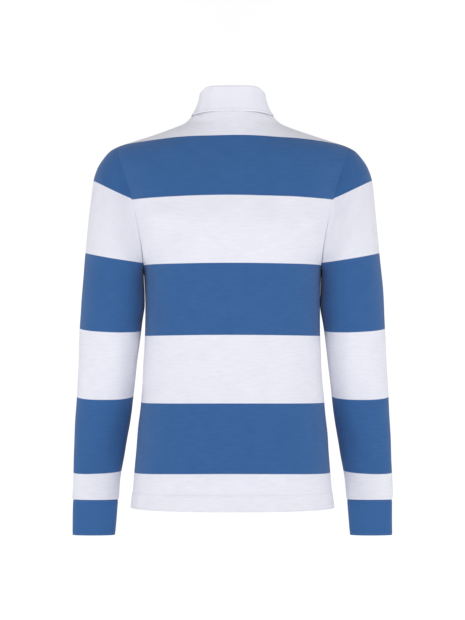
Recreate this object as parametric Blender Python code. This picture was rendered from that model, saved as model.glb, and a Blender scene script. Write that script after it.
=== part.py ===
"""Hooped rugby shirt, filled out as it hangs on a wearer, with nobody in it.

The frame is in metres with +Z up.  The wearer faces -Y and the wearer's left is +X.
The origin is the middle of the neck base, where the neck and shoulders carry the shirt.
Sizes below are in millimetres and are turned into metres when a mesh is made.
"""
import math
from collections import namedtuple

import bmesh
import bpy
import numpy as np

METRE = 0.001

# Cloth
JERSEY = 2.0                # wall of the heavy cotton jersey
HEM_WALL = 2.8              # jersey turned up double at the hem
TWILL = 1.8                 # two plies of collar twill, or a folded placket strip
RIB = 2.4                   # doubled rib of the cuffs
SEAM_GAP = 0.3              # between two pieces that are sewn edge to edge

# Heights
HEM = -700.0
HEM_TURN = 31.0             # depth of the turned hem
VENT = 58.0                 # open length at the foot of each side seam
VENT_OPEN = 2.5             # how far each vent edge stands back at the hem
UNDERARM = -274.0
SHOULDER_POINT = -53.5
NECK_SIDE = 6.0             # neck seam where it crosses the shoulder seam

# Armhole: an egg seen from the side
ARMHOLE_BACK = 60.0         # half its breadth behind the shoulder
ARMHOLE_FRONT = 62.0        # half its breadth in front
ARMHOLE_SWELL = 0.18        # how much broader it is below than above
ARMHOLE_BLUNT = 0.75        # below 1 for broad ends

# Placket and buttons
SLIT_HALF = 13.0            # half width of the slit cut in the front
SLIT_FOOT = -181.0
PLACKET_HALF = 15.5
PLACKET_FOOT = -189.0
PLACKET_LIFT = 0.9
UNDER_HALF = 17.0
BUTTON_RADIUS = 6.5
BUTTON_THICK = 3.2
BUTTON_DISH = 1.0           # depth of the sunk face
BUTTON_HEIGHTS = (-66.0, -113.0, -160.0)

# Collar
ROLL = 3.1                  # outer radius of the roll along the fold
FALL_INSIDE = 12.0          # how far the leaf comes down inside to its seam with the stand
FRONT_GAP_TURN = 2.0        # degrees left open at the centre front

# Mesh
ARMHOLE_STEPS = 10          # half way round the armhole
PANEL_COLUMNS = 9           # from the centre to the side, on each half of a panel
NECK_STEPS = 22             # round the collar

# Body sections, level cuts through the filled-out torso
Body = namedtuple("Body", "height half_width back front squareness")
BODY = [
    Body(14, 66.0, 57, 53, 2.00),
    Body(6, 69.5, 58, 54, 2.00),
    Body(0, 75.5, 60, 54.5, 1.90),
    Body(-10, 87.5, 63, 56, 1.80),
    Body(-18, 108.5, 65.5, 57.5, 1.75),
    Body(-32, 148.0, 70.5, 61, 1.72),
    Body(-46, 187.8, 76, 67, 1.78),
    Body(-53.5, 209.0, 79, 70.5, 1.84),
    Body(-60, 215.5, 82, 74, 1.90),
    Body(-75, 219.0, 87.5, 83, 2.05),
    Body(-99, 214.5, 95.5, 95, 2.22),
    Body(-130, 205.0, 103.5, 107, 2.35),
    Body(-164, 196.0, 110, 114, 2.42),
    Body(-198, 186.0, 114.5, 118, 2.45),
    Body(-228, 176.0, 116, 118, 2.48),
    Body(-253, 167.5, 115.5, 116, 2.50),
    Body(-274, 160.0, 114, 114, 2.50),
    Body(-300, 157.0, 111.5, 110.5, 2.50),
    Body(-338, 155.7, 107, 106, 2.50),
    Body(-390, 157.5, 103, 101.5, 2.50),
    Body(-440, 159.5, 102.5, 100, 2.50),
    Body(-510, 164.7, 105.5, 101, 2.50),
    Body(-570, 171.0, 110, 103, 2.48),
    Body(-640, 176.0, 115, 106, 2.45),
    Body(-702, 181.0, 119, 109, 2.40),
]

# Neck seam: how far round from the centre back, how far across, how high
Neck = namedtuple("Neck", "turn across height")
NECK = [
    Neck(0, 0.0, 13.0),
    Neck(30, 35.0, 12.6),
    Neck(60, 60.0, 10.5),
    Neck(90, 69.5, 6.0),
    Neck(110, 67.0, -4.0),
    Neck(135, 52.5, -22.0),
    Neck(155, 31.0, -36.0),
    Neck(180, 0.0, -42.0),
]

# Collar: the fold along its top and the lower edge of the leaf, and how soon the leaf
# swings out between them
Collar = namedtuple("Collar", "turn fold_x fold_y fold_z edge_x edge_y edge_z swing")
COLLAR = [
    Collar(0, 0.0, 50.0, 53.5, 0.0, 63.5, 8.0, 0.15),
    Collar(30, 30.0, 43.5, 54.2, 38.0, 55.0, 7.8, 0.15),
    Collar(60, 52.5, 25.5, 50.0, 65.5, 31.0, 7.2, 0.12),
    Collar(90, 60.5, -1.0, 44.5, 74.7, -2.0, 5.8, 0.12),
    Collar(110, 58.5, -20.0, 34.0, 75.0, -25.0, -4.5, 0.25),
    Collar(122, 53.0, -31.0, 23.5, 73.5, -44.0, -16.0, 0.33),
    Collar(135, 45.5, -41.0, 12.0, 69.5, -55.0, -31.0, 0.40),
    Collar(155, 26.5, -53.5, -6.0, 59.0, -73.0, -56.0, 0.50),
    Collar(180, 1.5, -60.0, -16.0, 44.0, -91.0, -82.0, 0.55),
]

# Sleeve rings from the armhole to the cuff seam: outer and inner point, half the depth,
# how far the ring sits forward, its squareness and its share of the armhole's own shape
Sleeve = namedtuple("Sleeve", "outer_x outer_z inner_x inner_z half_depth forward squareness seam")
SLEEVE = [
    Sleeve(209.0, -53.5, 160.0, -274.0, 61, 0, 2.0, 1.00),
    Sleeve(219.5, -59.0, 160.9, -276.5, 62, 0, 2.0, 0.90),
    Sleeve(232.0, -72.5, 160.9, -279.0, 63, 0, 2.0, 0.75),
    Sleeve(243.5, -91.0, 160.8, -282.5, 64, 0, 2.05, 0.55),
    Sleeve(251.0, -115.0, 160.5, -287.0, 65, 1, 2.1, 0.35),
    Sleeve(255.5, -152.0, 160.0, -293.0, 65.5, 1, 2.15, 0.18),
    Sleeve(260.0, -198.0, 159.3, -301.0, 65, 2, 2.2, 0.06),
    Sleeve(265.3, -250.0, 158.5, -314.0, 63, 3, 2.2, 0.0),
    Sleeve(270.5, -305.0, 158.0, -336.0, 60, 3, 2.2, 0.0),
    Sleeve(274.3, -370.0, 163.0, -374.0, 54, 4, 2.2, 0.0),
    Sleeve(278.0, -450.0, 173.0, -450.0, 47, 7, 2.2, 0.0),
    Sleeve(282.5, -525.0, 181.5, -525.0, 39.5, 13, 2.2, 0.0),
    Sleeve(286.5, -600.0, 193.5, -600.0, 31.5, 20, 2.2, 0.0),
    Sleeve(289.0, -655.0, 203.5, -655.0, 26, 25, 2.2, 0.0),
    Sleeve(290.5, -688.0, 206.0, -688.0, 23, 28, 2.2, 0.0),
]
CUFF = [
    Sleeve(288.7, -688.3, 207.0, -688.3, 22.5, 28, 2.2, 0.0),
    Sleeve(289.4, -720.0, 209.6, -720.0, 20.5, 30.5, 2.2, 0.0),
    Sleeve(290.0, -753.0, 212.8, -753.0, 19, 33, 2.2, 0.0),
]

# Looks
WHITE_JERSEY = ((0.82, 0.83, 0.88, 1.0), 0.9)
WHITE_TWILL = ((0.84, 0.85, 0.89, 1.0), 0.85)
BLUE_RIB = ((0.048, 0.118, 0.295, 1.0), 0.9)
RUBBER = ((0.80, 0.80, 0.78, 1.0), 0.5)


def smooth(rows, column, at):
    """Read one column of a table at any value of its first one, without overshoot."""
    table = sorted(rows, key=lambda row: row[0])
    knots = np.array([row[0] for row in table], float)
    values = np.array([getattr(row, column) for row in table], float)
    step = np.diff(knots)
    rise = np.diff(values) / step
    slope = np.concatenate([rise[:1], np.zeros(len(rise) - 1), rise[-1:]])
    for i in range(1, len(rise)):
        if rise[i - 1] * rise[i] > 0:
            slope[i] = 2 * rise[i - 1] * rise[i] / (rise[i - 1] + rise[i])
    at = np.clip(np.asarray(at, float), knots[0], knots[-1])
    i = np.clip(np.searchsorted(knots, at) - 1, 0, len(step) - 1)
    t = (at - knots[i]) / step[i]
    ease = t * t * (3 - 2 * t)
    bend = t * (1 - t) * step[i]
    return (values[i] * (1 - ease) + values[i + 1] * ease
            + bend * (slope[i] * (1 - t) - slope[i + 1] * t))


def body_point(angle, height, side):
    """A point of the torso at an angle from the centre, on the back (1) or front (-1)."""
    power = 2 / smooth(BODY, "squareness", height)
    depth = smooth(BODY, "back" if side > 0 else "front", height)
    x = smooth(BODY, "half_width", height) * np.sin(angle) ** power
    y = side * depth * np.clip(np.cos(angle), 0, 1) ** power
    return np.stack(np.broadcast_arrays(x, y, height), -1)


def angle_across(x, height):
    """The angle at which the torso is x wide of the centre."""
    share = np.clip(x / smooth(BODY, "half_width", height), 0, 1)
    return np.arcsin(share ** (smooth(BODY, "squareness", height) / 2))


def neck_height(angle, side):
    """Height of the neck seam at an angle of the torso."""
    turn = np.linspace(0, 90, 46) if side > 0 else np.linspace(180, 90, 46)
    height = smooth(NECK, "height", turn)
    return np.interp(angle, angle_across(smooth(NECK, "across", turn), height), height)


def panel_height(level, angle, side):
    """A panel's rows are level below the chest and follow the neck seam at the top."""
    foot = -90.0 if side > 0 else -150.0
    share = np.clip((level - foot) / (NECK_SIDE - foot), 0, 1) ** 1.5
    return level + share * (neck_height(angle, side) - NECK_SIDE)


def armhole(turn, side):
    """A point of the armhole seam; turn 0 is the shoulder point and 180 the underarm."""
    middle = (SHOULDER_POINT + UNDERARM) / 2
    level = middle + (SHOULDER_POINT - UNDERARM) / 2 * math.cos(turn)
    breadth = ARMHOLE_BACK if side > 0 else ARMHOLE_FRONT
    y = breadth * max(math.sin(turn), 0) ** ARMHOLE_BLUNT * (1 - ARMHOLE_SWELL * math.cos(turn))
    return level, y


def edge_angle(level, y, side):
    """The angle of the torso at which the armhole edge lies."""
    depth = smooth(BODY, "back" if side > 0 else "front", level)
    return np.arccos((y / depth) ** (smooth(BODY, "squareness", level) / 2))


def panel_rows(side):
    """The side edge of a panel from the hem up: level and edge angle of each row."""
    right = math.pi / 2
    below = [HEM, HEM + HEM_TURN, HEM + VENT, -590.0, -520.0, -450.0, -390.0, -335.0, -300.0]
    ridge = [-46.0, -34.0, -22.0, -11.0, -2.0, NECK_SIDE]
    rows = [(level, right) for level in below]
    for i in range(ARMHOLE_STEPS, -1, -1):
        level, y = armhole(math.pi * i / ARMHOLE_STEPS, side)
        rows.append((level, float(edge_angle(level, y, side))))
    return rows + [(level, right) for level in ridge]


def normals(grid, closed):
    """Outward unit normals of a grid whose rows run up and whose columns run to the right."""
    up = np.gradient(grid, axis=0)
    if closed:
        right = np.roll(grid, -1, axis=1) - np.roll(grid, 1, axis=1)
    else:
        right = np.gradient(grid, axis=1)
    normal = np.cross(right, up)
    return normal / np.linalg.norm(normal, axis=2, keepdims=True)


def make_material(name, look):
    material = bpy.data.materials.new(name)
    material.use_nodes = True
    shader = material.node_tree.nodes["Principled BSDF"]
    shader.inputs["Base Color"].default_value = look[0]
    shader.inputs["Roughness"].default_value = look[1]
    shader.inputs["Metallic"].default_value = 0.0
    return material


def make_object(name, mesh, look):
    part = bpy.data.objects.new(name, mesh)
    bpy.context.scene.collection.objects.link(part)
    mesh.materials.append(make_material(name, look))
    mesh.shade_smooth()
    mesh.set_sharp_from_angle(angle=math.radians(50))
    return part


def make_wall(name, grid, thickness, look, closed=False, cut=None, normal=None):
    """A cloth wall: the grid is its outer face and thickness may differ from row to row."""
    if normal is None:
        normal = normals(grid, closed)
    thick = np.broadcast_to(np.asarray(thickness, float), grid.shape[0])[:, None, None]
    inner = grid - normal * thick
    rows, columns = grid.shape[:2]
    span = columns if closed else columns - 1
    kept = [(r, c) for r in range(rows - 1) for c in range(span) if not (cut and cut(r, c))]
    mesh_maker = bmesh.new()
    faces = {}

    def corner(face, r, c):
        key = (face, r, c % columns)
        if key not in faces:
            point = (grid if face == 0 else inner)[r, c % columns] * METRE
            faces[key] = mesh_maker.verts.new(point)
        return faces[key]

    edges = {}
    for r, c in kept:
        loop = [(r, c), (r, c + 1), (r + 1, c + 1), (r + 1, c)]
        mesh_maker.faces.new([corner(0, *at) for at in loop])
        mesh_maker.faces.new([corner(1, *at) for at in reversed(loop)])
        for start, end in zip(loop, loop[1:] + loop[:1]):
            start = (start[0], start[1] % columns)
            end = (end[0], end[1] % columns)
            if (end, start) in edges:
                del edges[(end, start)]
            else:
                edges[(start, end)] = True
    for start, end in edges:
        mesh_maker.faces.new([corner(0, *end), corner(0, *start), corner(1, *start),
                              corner(1, *end)])
    mesh = bpy.data.meshes.new(name)
    mesh_maker.to_mesh(mesh)
    mesh_maker.free()
    return make_object(name, mesh, look)


def panel_grid(side, columns):
    """Points of a panel; columns gives the angles across a row, centre to right edge."""
    rows = []
    for level, edge in panel_rows(side):
        half = columns(level, edge)
        height = panel_height(level, half, side)
        points = body_point(half, height, side)
        vent = VENT_OPEN * min(max((HEM + VENT - level) / VENT, 0), 1)
        near_edge = (half / edge) ** 8
        points[:, 1] += side * (SEAM_GAP / 2 + vent * near_edge)
        mirrored = points[:0:-1] * (-1, 1, 1)
        rows.append(np.concatenate([mirrored, points]))
    return np.array(rows)[:, ::-side]


def panel_normals(grid, side):
    """Normals square to the seams where the panel meets its neighbour at the side."""
    normal = normals(grid, False)
    levels = [level for level, edge in panel_rows(side)]
    for r, level in enumerate(levels):
        if level <= UNDERARM or level >= SHOULDER_POINT:
            normal[r, (0, -1), 1] = 0
    return normal / np.linalg.norm(normal, axis=2, keepdims=True)


def hem_thickness():
    return [HEM_WALL if level < HEM + HEM_TURN / 2 else JERSEY for level, edge in panel_rows(1)]


def make_back():
    def columns(level, edge):
        return np.linspace(0, edge, PANEL_COLUMNS + 1)

    grid = panel_grid(1, columns)
    make_wall("back_panel", grid, hem_thickness(), WHITE_JERSEY, normal=panel_normals(grid, 1))


def front_columns(level, edge):
    """The front has a column along each side of the slit, as well as one down the centre."""
    slit = angle_across(SLIT_HALF, panel_height(level, 0.0, -1))
    return np.concatenate([[0.0], np.linspace(slit, edge, PANEL_COLUMNS)])


def make_front():
    grid = panel_grid(-1, front_columns)
    middle = PANEL_COLUMNS

    def slit(r, c):
        return c in (middle - 1, middle) and grid[r, middle, 2] > SLIT_FOOT - 1

    make_wall("front_panel", grid, hem_thickness(), WHITE_JERSEY,
              cut=slit, normal=panel_normals(grid, -1))


def strip_grid(half_width, foot, top_drop, lift):
    """A strip down the centre front, made from the front panel's own rows and moved out."""
    rows = []
    for level, edge in panel_rows(-1):
        height = float(panel_height(level, 0.0, -1))
        if height > foot:
            across = np.linspace(0, half_width, 3)
            half = angle_across(across, height)
            rows.append(body_point(half, np.full(3, height), -1))
    half = angle_across(np.linspace(0, half_width, 3), foot)
    rows.insert(0, body_point(half, np.full(3, foot), -1))
    rows[-1][:, 2] -= top_drop
    grid = np.array([np.concatenate([row[:0:-1] * (-1, 1, 1), row]) for row in rows])
    return grid + normals(grid, False) * lift


def make_placket():
    upper = strip_grid(PLACKET_HALF, PLACKET_FOOT, 0.8, PLACKET_LIFT + TWILL)
    make_wall("placket_upper", upper, TWILL, WHITE_TWILL)
    under = strip_grid(UNDER_HALF, PLACKET_FOOT, 0.8, -JERSEY - PLACKET_LIFT)
    make_wall("placket_under", under, TWILL, WHITE_TWILL)


def make_buttons():
    """Plain rubber buttons with a sunk face, on the upper strip."""
    profile = [(0, 0), (BUTTON_RADIUS - 0.8, 0), (BUTTON_RADIUS, 0.8),
               (BUTTON_RADIUS, BUTTON_THICK - 0.8), (BUTTON_RADIUS - 0.8, BUTTON_THICK),
               (BUTTON_RADIUS - 2.0, BUTTON_THICK), (BUTTON_RADIUS - 2.8, BUTTON_THICK - BUTTON_DISH),
               (0, BUTTON_THICK - BUTTON_DISH)]
    sides = 12
    for number, height in enumerate(BUTTON_HEIGHTS, 1):
        here = body_point(np.zeros(1), np.full(1, height), -1)[0]
        above = body_point(np.zeros(1), np.full(1, height + 5.0), -1)[0]
        up = (above - here) / np.linalg.norm(above - here)
        out = np.cross([1.0, 0.0, 0.0], up)
        seat = here + out * (PLACKET_LIFT + TWILL + 0.5)
        maker = bmesh.new()
        rings = []
        for radius, rise in profile:
            count = 1 if radius == 0 else sides
            rings.append([maker.verts.new((seat + out * rise + radius
                          * (np.array([1.0, 0, 0]) * math.cos(2 * math.pi * k / sides)
                             + up * math.sin(2 * math.pi * k / sides))) * METRE)
                          for k in range(count)])
        for low, high in zip(rings, rings[1:]):
            for k in range(sides):
                ring = [low[k % len(low)], low[(k + 1) % len(low)],
                        high[(k + 1) % len(high)], high[k % len(high)]]
                maker.faces.new(list(dict.fromkeys(ring)))
        mesh = bpy.data.meshes.new("button")
        maker.to_mesh(mesh)
        maker.free()
        make_object("button_%d" % number, mesh, RUBBER)


def armhole_ring():
    """The armhole seam of the wearer's left side, once round: top, back, underarm, front."""
    ring = []
    for i in range(2 * ARMHOLE_STEPS):
        turn = math.pi * i / ARMHOLE_STEPS
        side = 1 if turn <= math.pi else -1
        level, y = armhole(turn if side > 0 else 2 * math.pi - turn, side)
        angle = edge_angle(level, y, side)
        height = panel_height(level, angle, side)
        ring.append(body_point(angle, height, side))
    return np.array(ring)


def sleeve_ring(row):
    """A ring of the sleeve, from its outer point round the back, inside and front."""
    turn = np.pi * np.arange(2 * ARMHOLE_STEPS) / ARMHOLE_STEPS
    power = 2 / row.squareness
    reach = np.sign(np.cos(turn)) * np.abs(np.cos(turn)) ** power
    depth = np.sign(np.sin(turn)) * np.abs(np.sin(turn)) ** power
    x = (row.outer_x + row.inner_x) / 2 + (row.outer_x - row.inner_x) / 2 * reach
    z = (row.outer_z + row.inner_z) / 2 + (row.outer_z - row.inner_z) / 2 * reach
    return np.stack([x, row.half_depth * depth - row.forward, z], -1)


def make_sleeves():
    own_shape = armhole_ring() - sleeve_ring(SLEEVE[0])
    rings = np.array([sleeve_ring(row) + own_shape * row.seam for row in SLEEVE[::-1]])
    rings[-1] += normals(rings, True)[-1] * 0.2 + np.array([0.45, 0, 0])
    cuff = np.array([sleeve_ring(row) for row in CUFF[::-1]])
    for name, mirror in (("left", 1), ("right", -1)):
        for piece, grid, wall, look in (("sleeve", rings, JERSEY, WHITE_JERSEY),
                                        ("cuff", cuff, RIB, BLUE_RIB)):
            points = (grid * (mirror, 1, 1))[:, ::mirror]
            make_wall("%s_%s" % (piece, name), points, wall, look, closed=True)


def collar_turns():
    end = 180 - FRONT_GAP_TURN
    return np.linspace(-end, end, 2 * NECK_STEPS + 1)[::-1]


def collar_line(prefix, turn):
    """A line of the collar's table at signed turns, mirrored about the centre back."""
    across = smooth(COLLAR, prefix + "_x", np.abs(turn)) * np.sign(turn)
    depth = smooth(COLLAR, prefix + "_y", np.abs(turn))
    height = smooth(COLLAR, prefix + "_z", np.abs(turn))
    return np.stack([across, depth, height], -1)


def neck_line(turn):
    """The neck seam on the torso, at signed turns from the centre back."""
    across = smooth(NECK, "across", np.abs(turn))
    height = smooth(NECK, "height", np.abs(turn))
    angle = angle_across(across, height)
    points = np.where(np.abs(turn)[:, None] <= 90, body_point(angle, height, 1),
                      body_point(angle, height, -1))
    points[:, 0] *= np.sign(turn)
    return points


def make_collar():
    """A stand that rises from the neck seam, and a leaf that rolls over it and falls."""
    turn = collar_turns()[::2]
    fold = collar_line("fold", turn)
    edge = collar_line("edge", turn)
    outward = edge - fold
    outward[:, 2] = 0
    outward /= np.linalg.norm(outward, axis=1, keepdims=True)
    up = np.array([0.0, 0, 1])
    inner = ROLL - TWILL
    top = fold - outward * inner - up * (FALL_INSIDE + 2 * SEAM_GAP)
    bottom = neck_line(turn) + up * 1.2
    stand = np.array([bottom + (top - bottom) * share for share in (0, 0.5, 1.0)])
    make_wall("collar_stand", stand, TWILL, WHITE_TWILL)

    roll = [(-ROLL, -FALL_INSIDE), (-ROLL, -ROLL)]
    roll += [(-ROLL * math.cos(a), -ROLL + ROLL * math.sin(a))
             for a in np.radians((45, 90, 135, 180))]
    rows = [fold + outward * reach + up * rise for reach, rise in roll]
    start = rows[-1]
    swing = smooth(COLLAR, "swing", np.abs(turn))[:, None]
    pull = start + (edge - start) * np.concatenate([swing, swing, np.full_like(swing, 0.58)], 1)
    for share in (0.25, 0.5, 0.75, 1.0):
        rows.append(start * (1 - share) ** 2 + pull * 2 * share * (1 - share) + edge * share ** 2)
    make_wall("collar_leaf", np.array(rows)[::-1], TWILL, WHITE_TWILL)


for old in list(bpy.data.objects):
    bpy.data.objects.remove(old)
make_back()
make_front()
make_placket()
make_buttons()
make_sleeves()
make_collar()
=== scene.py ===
"""Looks of a hooped rugby shirt, filled out as on a wearer, with nobody in it.

The wearer faces -Y, +Z is up and the wearer's left is +X.  Sizes are in millimetres and
are turned into metres when a mesh is made.  Rows of every cloth grid run up, and its
columns run to the right as seen from outside.
"""
import math
from collections import namedtuple

import bmesh
import bpy
import numpy as np
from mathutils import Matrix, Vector


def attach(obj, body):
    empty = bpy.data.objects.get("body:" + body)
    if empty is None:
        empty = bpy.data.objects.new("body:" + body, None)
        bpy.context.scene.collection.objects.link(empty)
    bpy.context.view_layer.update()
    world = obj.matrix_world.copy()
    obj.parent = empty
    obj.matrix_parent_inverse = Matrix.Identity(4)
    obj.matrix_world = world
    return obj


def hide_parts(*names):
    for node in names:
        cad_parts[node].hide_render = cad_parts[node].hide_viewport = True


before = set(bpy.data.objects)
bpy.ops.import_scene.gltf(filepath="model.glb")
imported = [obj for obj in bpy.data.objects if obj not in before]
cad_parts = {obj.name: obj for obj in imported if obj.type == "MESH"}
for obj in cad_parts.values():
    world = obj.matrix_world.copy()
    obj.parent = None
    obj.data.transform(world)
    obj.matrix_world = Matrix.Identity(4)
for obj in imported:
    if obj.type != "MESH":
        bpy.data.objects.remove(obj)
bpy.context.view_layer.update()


# ---------------------------------------------------------------- camera
# A level view of the whole back from well away, so that the shirt keeps its proportions.
# The view's middle is half way down the shirt, sleeves and all.
VIEW_DISTANCE = 4.5
VIEW_HEIGHT = 1.116         # how much of the height is seen at the origin's distance
VIEW_MIDDLE = -0.3456
SENSOR = 36.0


def add_object(name, data):
    """An object at the origin, in the scene's collection."""
    made = bpy.data.objects.new(name, data)
    bpy.context.scene.collection.objects.link(made)
    return made


lens = bpy.data.cameras.new("camera")
lens.sensor_width = SENSOR
lens.lens = SENSOR * VIEW_DISTANCE / VIEW_HEIGHT
camera = add_object("camera", lens)
camera.location = (0, VIEW_DISTANCE, VIEW_MIDDLE)
camera.rotation_euler = (math.radians(90), 0, math.radians(180))
bpy.context.scene.camera = camera


# ---------------------------------------------------------------- back and front panels
# Two panels of heavy cotton jersey, knitted in white and blue hoops and cut from the same
# tube of cloth, sewn at the shoulders and sides.  The hem is turned up once and stitched,
# and each side seam stops short of it in a vent.
METRE = 0.001
JERSEY = 1.3
HEM_THICK = 2.5
HEM = -700.0
HEM_TURN = 31.0
HEM_STITCH = 29.7           # the line of stitches, above the hem's edge
VENT = 58.0
VENT_OPEN = 2.5
UNDERARM = -274.0
SHOULDER_POINT = -53.5
NECK_SIDE = 6.0
ARMHOLE_BACK = 60.0
ARMHOLE_FRONT = 62.0
ARMHOLE_SWELL = 0.18
ARMHOLE_BLUNT = 0.75
ARMHOLE_STEPS = 48
PANEL_COLUMNS = 62
SLIT_HALF = 13.0
SLIT_FOOT = -181.0
SEAM_DIP = 0.8              # how far the cloth is drawn in at a seam
SIDE_DIP = 0.15             # and at the side and underarm seams
SEAM_REACH = 4.0
ARMHOLE_DIP = {-275.0: 0.15, -250.0: 0.7, -200.0: 0.45, -150.0: 0.05}   # by height
EDGE_THIN = 0.45            # a raw or folded edge is this share of the cloth's thickness
HOOP_SHARPNESS = 60.0
WALE = 0.00125              # one column of knitted stitches
COURSE = 0.00095            # one row of them
KNIT_RELIEF = 0.00022

Body = namedtuple("Body", "height half_width back front squareness")
BODY = [
    Body(14, 66.0, 57, 53, 2.00),
    Body(6, 69.5, 58, 54, 2.00),
    Body(0, 75.5, 60, 54.5, 1.90),
    Body(-10, 86.5, 63, 56, 1.80),
    Body(-18, 105.0, 65.5, 57.5, 1.75),
    Body(-32, 144.5, 70.5, 61, 1.72),
    Body(-46, 189.0, 76, 67, 1.78),
    Body(-53.5, 209.0, 79, 70.5, 1.84),
    Body(-60, 215.5, 82, 74, 1.90),
    Body(-75, 219.0, 87.5, 83, 2.05),
    Body(-99, 214.5, 95.5, 95, 2.22),
    Body(-130, 205.0, 103.5, 107, 2.35),
    Body(-164, 196.0, 110, 114, 2.42),
    Body(-198, 186.0, 114.5, 118, 2.45),
    Body(-228, 176.0, 116, 118, 2.48),
    Body(-253, 167.5, 115.5, 116, 2.50),
    Body(-274, 160.0, 114, 114, 2.50),
    Body(-300, 158.2, 111.5, 110.5, 2.50),
    Body(-338, 156.8, 107, 106, 2.50),
    Body(-390, 157.5, 103, 101.5, 2.50),
    Body(-440, 159.5, 102.5, 100, 2.50),
    Body(-510, 164.7, 105.5, 101, 2.50),
    Body(-570, 171.0, 110, 103, 2.48),
    Body(-640, 176.0, 115, 106, 2.45),
    Body(-702, 181.0, 119, 109, 2.40),
]
Neck = namedtuple("Neck", "turn across height")
NECK = [
    Neck(0, 0.0, 13.0),
    Neck(30, 35.0, 12.6),
    Neck(60, 60.0, 10.5),
    Neck(90, 69.5, 6.0),
    Neck(110, 67.0, -4.0),
    Neck(135, 52.5, -22.0),
    Neck(155, 31.0, -36.0),
    Neck(180, 0.0, -42.0),
]
# The lower edge of each colour down the body, and how much lower it is at the sides
Hoop = namedtuple("Hoop", "height droop")
BODY_HOOPS = [
    Hoop(-35.4, 11.0),
    Hoop(-143.1, 6.5),
    Hoop(-262.8, 4.0),
    Hoop(-389.4, 3.5),
    Hoop(-509.8, 2.0),
    Hoop(-633.2, 4.2),
]
DROOP_WIDTH = 184.0
# Soft creases: where each starts and ends, how far it stands out (or in), how broad it is
Crease = namedtuple("Crease", "across height to_across to_height depth width")
BACK_CREASES = [
    Crease(148, -182, 92, -177, 4.4, 15),
    Crease(142, -214, 92, -211, -5.6, 17),
    Crease(152, -236, 118, -250, -2.0, 16),
    Crease(60, -178, 30, -206, 1.6, 20),
    Crease(-150, -188, -118, -180, 3.0, 16),
    Crease(-146, -218, -122, -228, -4.4, 17),
    Crease(-110, -205, -40, -190, 1.8, 26),
    Crease(-130, -268, 130, -268, -3.4, 30),
    Crease(-110, -196, 110, -196, 2.6, 34),
    Crease(-100, -330, -30, -350, 1.2, 24),
    Crease(110, -420, 40, -400, -1.0, 26),
    Crease(-128, -470, -80, -520, 1.2, 26),
    Crease(120, -560, 60, -590, 1.2, 22),
    Crease(112, -640, 24, -645, 3.8, 10),
    Crease(30, -643, -62, -640, 3.2, 9),
    Crease(104, -662, 20, -664, -4.0, 9),
    Crease(24, -663, -70, -661, -3.4, 8),
    Crease(150, -644, 104, -650, 2.2, 10),
    Crease(-92, -650, -146, -642, 2.4, 10),
]
FRONT_CREASES = [
    Crease(150, -196, 100, -186, 1.8, 18),
    Crease(142, -222, 100, -214, -2.2, 17),
    Crease(-152, -192, -104, -184, 1.7, 17),
    Crease(-141, -218, -96, -212, -2.0, 18),
    Crease(60, -300, 100, -420, -0.9, 20),
    Crease(-50, -320, -96, -440, -0.8, 22),
    Crease(-70, -655, -20, -664, -1.1, 13),
    Crease(110, -646, 50, -652, 0.8, 14),
]
# The hollow that runs along the lower half of each armhole seam, in panel and sleeve alike
ARMHOLE_HOLLOW = Crease(188, -132, 165, -246, -8.0, 18)
HOLLOW_FADE = 40.0
STILL = 14.0                # creases die out this far from a seam
BACK_SEED = 3
FRONT_SEED = 5
WHITE_SHADE = (0.765, 0.768, 0.850, 1.0)
WHITE_LIGHT = (0.840, 0.843, 0.920, 1.0)
BLUE_SHADE = (0.027, 0.102, 0.285, 1.0)
BLUE_LIGHT = (0.038, 0.128, 0.335, 1.0)


def smooth(rows, column, at):
    """Read one column of a table at any value of its first one, without overshoot."""
    table = sorted(rows, key=lambda row: row[0])
    knots = np.array([row[0] for row in table], float)
    values = np.array([getattr(row, column) for row in table], float)
    step = np.diff(knots)
    rise = np.diff(values) / step
    slope = np.concatenate([rise[:1], np.zeros(len(rise) - 1), rise[-1:]])
    for i in range(1, len(rise)):
        if rise[i - 1] * rise[i] > 0:
            slope[i] = 2 * rise[i - 1] * rise[i] / (rise[i - 1] + rise[i])
    at = np.clip(np.asarray(at, float), knots[0], knots[-1])
    i = np.clip(np.searchsorted(knots, at) - 1, 0, len(step) - 1)
    t = (at - knots[i]) / step[i]
    ease = t * t * (3 - 2 * t)
    bend = t * (1 - t) * step[i]
    return (values[i] * (1 - ease) + values[i + 1] * ease
            + bend * (slope[i] * (1 - t) - slope[i + 1] * t))


def body_point(angle, height, side):
    """A point of the torso at an angle from the centre, on the back (1) or front (-1)."""
    power = 2 / smooth(BODY, "squareness", height)
    depth = smooth(BODY, "back" if side > 0 else "front", height)
    x = smooth(BODY, "half_width", height) * np.sin(angle) ** power
    y = side * depth * np.clip(np.cos(angle), 0, 1) ** power
    return np.stack(np.broadcast_arrays(x, y, height), -1)


def angle_across(x, height):
    """The angle at which the torso is x wide of the centre."""
    share = np.clip(x / smooth(BODY, "half_width", height), 0, 1)
    return np.arcsin(share ** (smooth(BODY, "squareness", height) / 2))


def panel_height(level, angle, side):
    """A panel's rows are level below the chest and follow the neck seam at the top."""
    turn = np.linspace(0, 90, 91) if side > 0 else np.linspace(180, 90, 91)
    seam = smooth(NECK, "height", turn)
    neck = np.interp(angle, angle_across(smooth(NECK, "across", turn), seam), seam)
    foot = -90.0 if side > 0 else -150.0
    share = np.clip((level - foot) / (NECK_SIDE - foot), 0, 1) ** 1.5
    return level + share * (neck - NECK_SIDE)


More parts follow.
